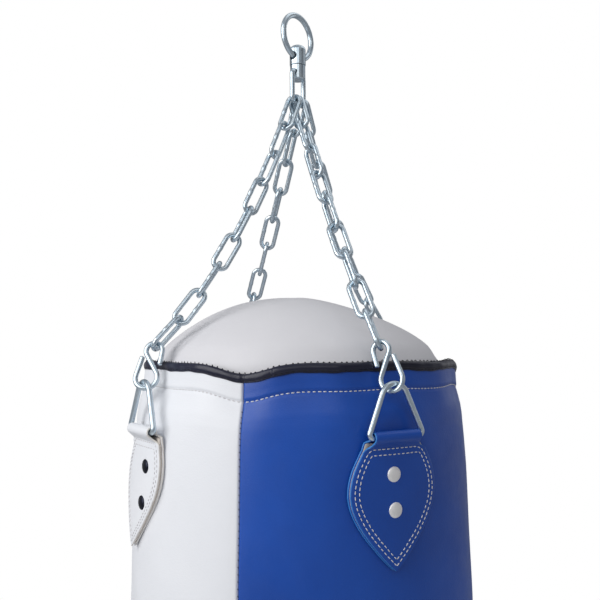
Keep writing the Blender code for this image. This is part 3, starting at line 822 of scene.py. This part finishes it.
# radius, height above the base
BASE_PROFILE = [
    (0.0, 0.0045), (0.1660, 0.0045), (0.1700, 0.0040), (0.1712, 0.0026), (0.1700, 0.0010), (0.1650, 0.0002),
    (0.0, 0.0),
]
BASE_STITCH_RADII = (0.1615, 0.1570)
BASE_STITCH_PITCH = 0.0050
BASE_STITCH_R = 0.00045


def dome_edge(angle):
    radius, _ = rim_frame(angle)
    return min(radius - 0.0030, DOME_EDGE_R + radial(angle).dot(DOME_EDGE_SHIFT))


def dome_point(t, angle, lift):
    """t runs from the apex, 0, to the collar, 1; beyond 1 the skirt goes down inside the collar."""
    edge = dome_edge(angle)
    radius = min(t, 1.0) * edge
    place = radial(angle) * radius
    level = min(t, 1.0) * DOME_EDGE_R
    fade = 1.0 - smooth_step(t, 0.30, 1.0)
    towards = level * math.cos(angle) * DOME_SHIFT.x + level * math.sin(angle) * DOME_SHIFT.y
    reach = math.sqrt(max(level**2 - 2 * towards * fade + DOME_SHIFT.length_squared * fade, 0.0))
    height = DOME_TOP_Z - DOME_FALL * reach**2 - DOME_SHOULDER * reach**8
    height += 0.0010 * math.sin(3 * angle + 0.6) * math.sin(math.pi * min(t, 1.0))
    height += 0.0004 * math.sin(5 * angle + 22 * level) * smooth_step(t, 0.3, 0.8) * fade
    height -= DOME_TUCK * smooth_step(t, 0.90, 1.0) ** 2
    if t > 1.0:
        height -= (t - 1.0) * SKIRT_FALL
    slope = radial(angle) * smooth_step(t, 0.55, 1.0)
    normal = (UP * (1.0 - smooth_step(t, 0.85, 1.02)) + slope).normalized()
    return place + UP * height + normal * lift


def dome_piece(mats):
    segments = DOME_SEGMENTS
    stops = [t / DOME_ROWS for t in range(1, DOME_ROWS + 1)] + [1.06, 1.12, 1.18]
    bm = bmesh.new()
    skins = []
    for lift in (0.0, -DOME_SKIN):
        apex = bm.verts.new(dome_point(0.0, 0.0, lift))
        rings = [[bm.verts.new(dome_point(t, 2 * math.pi * k / segments, lift)) for k in range(segments)]
                 for t in stops]
        for k in range(segments):
            bm.faces.new((apex, rings[0][k], rings[0][(k + 1) % segments]))
        for near, far in zip(rings, rings[1:]):
            for k in range(segments):
                bm.faces.new((near[k], far[k], far[(k + 1) % segments], near[(k + 1) % segments]))
        skins.append(rings[-1])
    outer, inner = skins
    for k in range(segments):
        bm.faces.new((outer[k], outer[(k + 1) % segments], inner[(k + 1) % segments], inner[k]))
    # the dome's darker copy of the white leather is painted shade
    dome = add_piece("stuffed_top", bm, [mats["top_white_painted_shade"]], "bag")
    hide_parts("top_dome")


def lathe(bm, profile, segments, matrix=Matrix.Identity(4)):
    """Turns an open profile of (radius, z) that starts and ends on the axis."""
    rings = []
    for r, z in profile:
        if r == 0.0:
            rings.append([bm.verts.new(matrix @ Vector((0.0, 0.0, z)))])
        else:
            rings.append([bm.verts.new(matrix @ Vector((r * math.cos(a), r * math.sin(a), z)))
                          for a in (2 * math.pi * k / segments for k in range(segments))])
    for near, far in zip(rings, rings[1:]):
        for k in range(segments):
            n = (k + 1) % segments
            corners = [near[k % len(near)], far[k % len(far)], far[n % len(far)], near[n % len(near)]]
            unique = list(dict.fromkeys(corners))
            bm.faces.new(unique)


def filling_piece(mats):
    side = [(FILLING_R, z) for z in np.linspace(-0.50, -1.50, 11)]
    bm = bmesh.new()
    lathe(bm, FILLING_TOP + side + [(0.160, -1.560), (0.0, -1.565)], 64)
    core = add_piece("stuffing_core", bm, [mats["stuffing"]], "bag")
    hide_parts("filling")


def base_piece(mats):
    bm = bmesh.new()
    lathe(bm, [(radius, BASE_Z + above) for radius, above in BASE_PROFILE], 128)
    base = add_piece("bottom_disc", bm, [mats["blue"]], "bag")
    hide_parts("base_disc")


def base_stitches(mats):
    bm = bmesh.new()
    for radius in BASE_STITCH_RADII:
        line = [radial(a) * radius + UP * (BASE_Z + 0.0001) for a in np.linspace(0, 2 * math.pi, 240)]
        stitch_row(bm, line, [-UP] * len(line), BASE_STITCH_PITCH, 0.62, BASE_STITCH_R)
    add_piece("bottom_stitches", bm, [mats["thread"]], "bag")


# ---------------------------------------------------------------- strap tabs
# half outline of the patch: depth below the D-ring's bar, half width
TAB_OUTLINE = [
    (0.0060, 0.0243), (0.0080, 0.0258), (0.0100, 0.0300), (0.0120, 0.0328), (0.0160, 0.0359),
    (0.0220, 0.0392), (0.0283, 0.0421), (0.0350, 0.0442), (0.0422, 0.0455), (0.0495, 0.0457),
    (0.0555, 0.0447), (0.0613, 0.0430), (0.0684, 0.0398), (0.0754, 0.0358), (0.0818, 0.0314),
    (0.0881, 0.0264), (0.0953, 0.0200), (0.1026, 0.0132), (0.1090, 0.0066), (0.1125, 0.0024),
    (0.1140, 0.0006),
]
TAB_DEPTH = np.array([depth for depth, _ in TAB_OUTLINE])
TAB_HALF = np.array([half for _, half in TAB_OUTLINE])
# sideways slope of each patch, how far it is cut off centre, and its width as a share of the outline
TAB_LEAN = {"left": -0.27, "front": -0.045, "back": 0.0, "right": 0.02}
TAB_SHIFT = {"left": -0.0010, "front": 0.0025, "back": 0.0, "right": 0.0}
TAB_WIDTH = {"left": 0.84, "front": 0.97, "back": 1.0, "right": 1.0}
TAB_LEAN_START = 0.0135
TAB_CURVE_R = 0.215
TAB_COLUMNS = 26
STRAP_HALF = 0.0238
STRAP_LOOP_R = 0.0036
STRAP_LOOP_ENDS = (-40.0, 205.0)    # degrees around the D-ring's bar
BACK_START = 0.0045
# the back skin's neck widens at this slope down to its end, and the skin stands out past the outline
BACK_NECK_HALF = 0.0278
BACK_NECK_TOP = 0.0040
BACK_NECK_END = 0.0200
BACK_NECK_SLOPE = 0.52
BACK_MARGIN = 0.0006
SKIN = 0.0017
FELT = 0.0018
FELT_INSET = 0.0006
FELT_LEAST_HALF = 0.0008
BACK_LIFT = 0.0007
FRONT_LIFT = BACK_LIFT + SKIN + FELT
# inset of each stitch row from the outline, and the depth of its upper stretch
STITCH_ROWS = ((0.0042, 0.0105), (0.0082, 0.0155))
TAB_STITCH_PITCH = 0.0046
TAB_STITCH_R = 0.00046
# depth below the bar and sideways place of each rivet
RIVETS = {
    "left": ((0.0335, 0.0040), (0.0680, -0.0020)),
    "front": ((0.0325, -0.0016), (0.0628, -0.0012)),
    "back": ((0.0330, 0.0), (0.0640, 0.0)),
    "right": ((0.0335, 0.0), (0.0655, 0.0)),
}
RIVET_R = 0.0068
# share of the rivet's radius, height above the leather
RIVET_PROFILE = [
    (0.0, 0.0017), (0.35, 0.0016), (0.62, 0.00125), (0.84, 0.0007), (0.96, 0.0002), (1.0, -0.0003),
    (0.97, -0.0006), (0.0, -0.0006),
]


def bend_share(depth):
    """0 at the strap's loop, 1 on the patch, which follows the round of the bag."""
    return smooth_step(depth, 0.006, 0.018)


def tab_half(depth, back):
    half = float(np.interp(depth, TAB_DEPTH, TAB_HALF))
    if back and depth < BACK_NECK_END:
        half = max(half, BACK_NECK_HALF + BACK_NECK_SLOPE * (depth - BACK_NECK_TOP))
    return half


def tab_base(depth):
    """Distance of the shell from the bag's axis behind the tab's centre line."""
    zeta = D_BAR_Z - depth
    return float(np.interp(-zeta, PROFILE_Z, PROFILE_R)) + 0.0004


def patch_station(depth, back):
    """Station of the strap's centre line on a skin of the patch."""
    lift = (BACK_LIFT if back else FRONT_LIFT) + SKIN / 2
    margin = BACK_MARGIN if back else 0.0
    return tab_base(depth) + lift, D_BAR_Z - depth, tab_half(depth, back) + margin, bend_share(depth)


def strap_path():
    """Centre line of the strap from the front tip, over the D-ring's bar, to the back tip.

    Each station is (distance from the bag's axis, height, half width, sideways curve share).
    """
    depths = [0.1140, 0.1133, 0.1120, 0.1095, *np.linspace(0.1060, 0.0140, 40), 0.0120, 0.0105, 0.0092]
    stations = [patch_station(depth, False) for depth in depths]
    loop = arc(0.0, 0.0, STRAP_LOOP_R + SKIN / 2, *STRAP_LOOP_ENDS, 22)
    loop = [(D_RADIUS + x, D_BAR_Z + z) for x, z in loop]
    (x0, z0, start_half, _), (x1, z1) = stations[-1], loop[0]
    for t in (0.3, 0.6, 0.85):
        bend = math.sin(math.pi * t) * 0.0007
        half = STRAP_HALF + (start_half - STRAP_HALF) * (1 - t) ** 2
        stations.append((x0 + (x1 - x0) * t - bend, z0 + (z1 - z0) * t - bend, half, 0.0))
    stations += [(x, z, STRAP_HALF, 0.0) for x, z in loop]
    last = stations[-1]
    end = patch_station(BACK_START, True)
    for t, half in ((0.25, 0.0238), (0.5, 0.0250), (0.75, 0.0268)):
        stations.append((last[0] + (end[0] - last[0]) * t, last[1] + (end[1] - last[1]) * t, half, 0.3 * t))
    return stations + [patch_station(depth, True) for depth in (BACK_START, 0.0062, 0.0080, *depths[-2::-1])]


def patch_place(u, depth, leg):
    """Sideways place on a tab: the patch is scaled, shifted and leans; the loop above stays straight."""
    share = bend_share(depth)
    scaled = u * (1.0 - share * (1.0 - TAB_WIDTH[leg]))
    return scaled + share * TAB_SHIFT[leg] + TAB_LEAN[leg] * max(depth - TAB_LEAN_START, 0.0)


def strip_loops(stations, thickness, leg):
    """Cross-sections of a strip with rounded edges, in the tab's frame: outward, sideways, up."""
    bevel = thickness * 0.28
    loops = []
    for i, (x, z, half, curve) in enumerate(stations):
        before, after = stations[max(i - 1, 0)], stations[min(i + 1, len(stations) - 1)]
        along = Vector((after[0] - before[0], 0.0, after[1] - before[1])).normalized()
        normal = Vector((-along.z, 0.0, along.x)) * -1.0
        loop = []
        inner = max(half - bevel, half * 0.5)
        lanes = [inner * (2 * k / TAB_COLUMNS - 1) for k in range(TAB_COLUMNS + 1)]
        profile = [(u, thickness / 2) for u in lanes]
        profile += [(half, thickness / 2 - bevel), (half, bevel - thickness / 2)]
        profile += [(u, -thickness / 2) for u in reversed(lanes)]
        profile += [(-half, bevel - thickness / 2), (-half, thickness / 2 - bevel)]
        for u, lift in profile:
            shifted = patch_place(u, D_BAR_Z - z, leg)
            drop = curve * shifted * shifted / (2 * TAB_CURVE_R)
            loop.append(Vector((x - drop, shifted, z)) + normal * lift)
        loops.append(loop)
    return loops


def tab_surface(sideways, depth, lift=0.0):
    """Point on the tab's front face, in the tab's frame."""
    x = tab_base(depth) + FRONT_LIFT + SKIN + lift
    drop = bend_share(depth) * sideways * sideways / (2 * TAB_CURVE_R)
    return Vector((x - drop, sideways, D_BAR_Z - depth))


def inset_outline(inset, top):
    """Half outline of a stitch row, from the top middle to the tip."""
    widths = []
    for depth in np.linspace(top, 0.1138, 90):
        above, half, below = np.interp([depth - 0.0005, depth, depth + 0.0005], TAB_DEPTH, TAB_HALF)
        width = float(half) - inset * math.hypot(1.0, (below - above) / 0.001)
        if width > 0:
            widths.append((width, depth))
    corner = widths[0][0]
    tip_depth = widths[-1][1] + 0.0008
    return [(u, top) for u in np.linspace(0.0, corner, 12)[:-1]] + widths + [(0.0, tip_depth)]


def strap_piece(leg, turn, mats):
    """The strap: one strip of leather, with the paint of its cut edges."""
    side_strips = {TAB_COLUMNS + k for k in range(3)} | {2 * TAB_COLUMNS + k for k in range(3, 6)}
    colour = PANEL_COLOUR[leg]
    bm = bmesh.new()
    loft(bm, [[turn @ p for p in loop] for loop in strip_loops(strap_path(), SKIN, leg)],
         mat_of=lambda k: 1 if k in side_strips else 0)
    strap = add_piece(f"{leg}_strap", bm, [mats[colour], mats[f"{colour}_edge"]], "bag")
    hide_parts(f"tab_{leg}")


def felt_piece(leg, turn, mats):
    """Layer of felt between the two skins of the patch."""
    stations = []
    for depth in (0.0050, 0.0056, 0.0072, *np.linspace(0.0090, 0.1085, 42), 0.1110):
        x = tab_base(depth) + BACK_LIFT + SKIN + FELT / 2
        half = max(tab_half(depth, True) - FELT_INSET, FELT_LEAST_HALF)
        stations.append((x, D_BAR_Z - depth, half, bend_share(depth)))
    bm = bmesh.new()
    loft(bm, [[turn @ p for p in loop] for loop in strip_loops(stations, FELT * 0.96, leg)])
    # white tabs take the lighter copy of the felt: painted light
    felt = "felt_painted_light" if PANEL_COLOUR[leg] == "white" else "felt"
    add_piece(f"{leg}_strap_felt", bm, [mats[felt]], "bag")


def strap_stitches(leg, turn, mats):
    bm = bmesh.new()
    jitter = random.Random(17)
    for inset, top in STITCH_ROWS:
        for side in (-1, 1):
            outline = inset_outline(inset, top)
            points = [turn @ tab_surface(patch_place(side * u, d, leg), d) for u, d in outline]
            normals = [turn @ Vector((1.0, 0.0, 0.0))] * len(points)
            stitch_row(bm, points, normals, TAB_STITCH_PITCH, 0.68, TAB_STITCH_R, jitter)
    add_piece(f"{leg}_strap_stitches", bm, [mats[thread_name(leg)]], "bag")


def strap_rivets(leg, turn, mats):
    bm = bmesh.new()
    outward = turn @ Vector((1.0, 0.0, 0.0))
    for depth, place in RIVETS[leg]:
        centre = turn @ tab_surface(place, depth, 0.0003)
        matrix = Matrix.Translation(centre) @ outward.to_track_quat("Z", "Y").to_matrix().to_4x4()
        lathe(bm, [(RIVET_R * share, height) for share, height in RIVET_PROFILE], 40, matrix)
    rivet = "dark_rivet" if PANEL_COLOUR[leg] == "white" else "rivet"
    add_piece(f"{leg}_strap_rivets", bm, [mats[rivet]], "bag")


def tab_pieces(mats):
    for leg, degrees in LEG_AZIMUTH.items():
        turn = Matrix.Rotation(math.radians(degrees), 4, "Z")
        strap_piece(leg, turn, mats)
        felt_piece(leg, turn, mats)
        strap_stitches(leg, turn, mats)
        strap_rivets(leg, turn, mats)


# ---------------------------------------------------------------- studio
CAMERA_AZIMUTH = math.radians(242.9)
CAMERA_ROLL = math.radians(-0.44)
CAMERA_DISTANCE = 0.80
CAMERA_SIDEWAYS = 0.0005
CAMERA_Z = -0.357
CAMERA_PITCH = math.radians(3.06)
CAMERA_LENS_MM = 43.92
SENSOR_MM = 36.0
FLOOR_Z = BASE_Z - 0.25
FLOOR_R = 2.6
# each light: sideways, back towards the camera and up; size; watts; colour
LIGHTS = {
    "key": ((-1.5, 1.0, 0.35), (1.7, 1.7), 32.0, (1.0, 1.0, 1.0)),
    "front": ((0.2, 1.9, 0.7), (1.4, 0.9), 5.5, (1.0, 1.0, 1.0)),
    "rim": ((1.5, -0.9, 0.4), (0.6, 1.6), 2.5, (0.95, 0.97, 1.0)),
    "top": ((0.5, -0.2, 1.2), (1.2, 1.2), 3.5, (1.0, 1.0, 1.0)),
}
LIGHT_AIM = UP * -0.45
# brightness of the surroundings from straight below, 0, to straight above, 1
SURROUNDINGS = ((0.0, 0.50), (0.40, 0.62), (0.52, 1.0), (0.60, 0.45), (0.72, 0.30), (0.86, 0.95), (1.0, 0.8))
SURROUNDINGS_STRENGTH = 0.45


def camera_axes():
    forward = Vector((-math.cos(CAMERA_AZIMUTH), -math.sin(CAMERA_AZIMUTH), 0.0))
    right = forward.cross(UP)
    return forward, right


def add_camera():
    forward, right = camera_axes()
    data = bpy.data.cameras.new("camera")
    data.sensor_width = SENSOR_MM
    data.lens = CAMERA_LENS_MM
    data.clip_start = 0.01
    camera = bpy.data.objects.new("camera", data)
    bpy.context.scene.collection.objects.link(camera)
    camera.location = -forward * CAMERA_DISTANCE + right * CAMERA_SIDEWAYS + UP * CAMERA_Z
    aim = forward * math.cos(CAMERA_PITCH) + UP * math.sin(CAMERA_PITCH)
    camera.rotation_mode = "QUATERNION"
    roll = Quaternion((0.0, 0.0, 1.0), CAMERA_ROLL)
    camera.rotation_quaternion = aim.to_track_quat("-Z", "Y") @ roll
    bpy.context.scene.camera = camera


def add_floor():
    bm = bmesh.new()
    bmesh.ops.create_circle(bm, cap_ends=True, segments=96, radius=FLOOR_R)
    mesh = bpy.data.meshes.new("floor")
    bm.to_mesh(mesh)
    bm.free()
    mat, _, shader = new_material("floor_paint")
    shader.inputs["Base Color"].default_value = (0.82, 0.82, 0.82, 1.0)
    shader.inputs["Roughness"].default_value = 0.8
    mesh.materials.append(mat)
    floor = bpy.data.objects.new("floor", mesh)
    floor.location = (0.0, 0.0, FLOOR_Z)
    bpy.context.scene.collection.objects.link(floor)


def add_world():
    """White to the camera; to everything else a soft studio that is darker below and has a dim band."""
    world = bpy.data.worlds.new("studio")
    bpy.context.scene.world = world
    world.use_nodes = True
    tree = world.node_tree
    tree.nodes.clear()
    coords = tree.nodes.new("ShaderNodeTexCoord")
    split = tree.nodes.new("ShaderNodeSeparateXYZ")
    tree.links.new(coords.outputs["Generated"], split.inputs["Vector"])
    height = remap(tree, split.outputs["Z"], -1.0, 1.0, 0.0, 1.0)
    ramp = tree.nodes.new("ShaderNodeValToRGB")
    tree.links.new(height, ramp.inputs["Fac"])
    elements = ramp.color_ramp.elements
    while len(elements) < len(SURROUNDINGS):
        elements.new(0.5)
    for element, (place, value) in zip(elements, SURROUNDINGS):
        element.position = place
        element.color = (value * 0.97, value * 0.985, value * 1.03, 1.0)
    soft = add_node(tree, "ShaderNodeBackground", Strength=SURROUNDINGS_STRENGTH)
    tree.links.new(ramp.outputs["Color"], soft.inputs["Color"])
    white = add_node(tree, "ShaderNodeBackground", Color=(1.0, 1.0, 1.0, 1.0), Strength=1.0)
    path = tree.nodes.new("ShaderNodeLightPath")
    mix = tree.nodes.new("ShaderNodeMixShader")
    tree.links.new(path.outputs["Is Camera Ray"], mix.inputs["Fac"])
    tree.links.new(soft.outputs["Background"], mix.inputs[1])
    tree.links.new(white.outputs["Background"], mix.inputs[2])
    output = tree.nodes.new("ShaderNodeOutputWorld")
    tree.links.new(mix.outputs["Shader"], output.inputs["Surface"])


def add_light(name, place, size, watts, colour):
    forward, right = camera_axes()
    sideways, back, height = place
    data = bpy.data.lights.new(name, "AREA")
    data.shape = "RECTANGLE"
    data.size, data.size_y = size
    data.energy = watts
    data.color = colour
    light = bpy.data.objects.new(name, data)
    bpy.context.scene.collection.objects.link(light)
    light.location = right * sideways - forward * back + UP * height
    light.rotation_mode = "QUATERNION"
    light.rotation_quaternion = (LIGHT_AIM - light.location).to_track_quat("-Z", "Y")


def add_studio():
    add_world()
    add_floor()
    for name, (place, size, watts, colour) in LIGHTS.items():
        add_light(name, place, size, watts, colour)
    bpy.context.scene.view_settings.view_transform = "Standard"


# ---------------------------------------------------------------- assembly
def build():
    mats = {**make_leathers(), **make_metals(), **make_fibres()}
    add_camera()
    ring_piece(mats)
    master_piece(mats)
    chain_pieces(mats)
    hook_and_ring_pieces(mats)
    finish_swivel(mats)
    panel_pieces(mats)
    collar_stitches(mats)
    seam_hole_shade_ticks(mats)
    binding_piece(mats)
    binding_stitches(mats)
    dome_piece(mats)
    filling_piece(mats)
    base_piece(mats)
    base_stitches(mats)
    tab_pieces(mats)
    add_studio()


build()
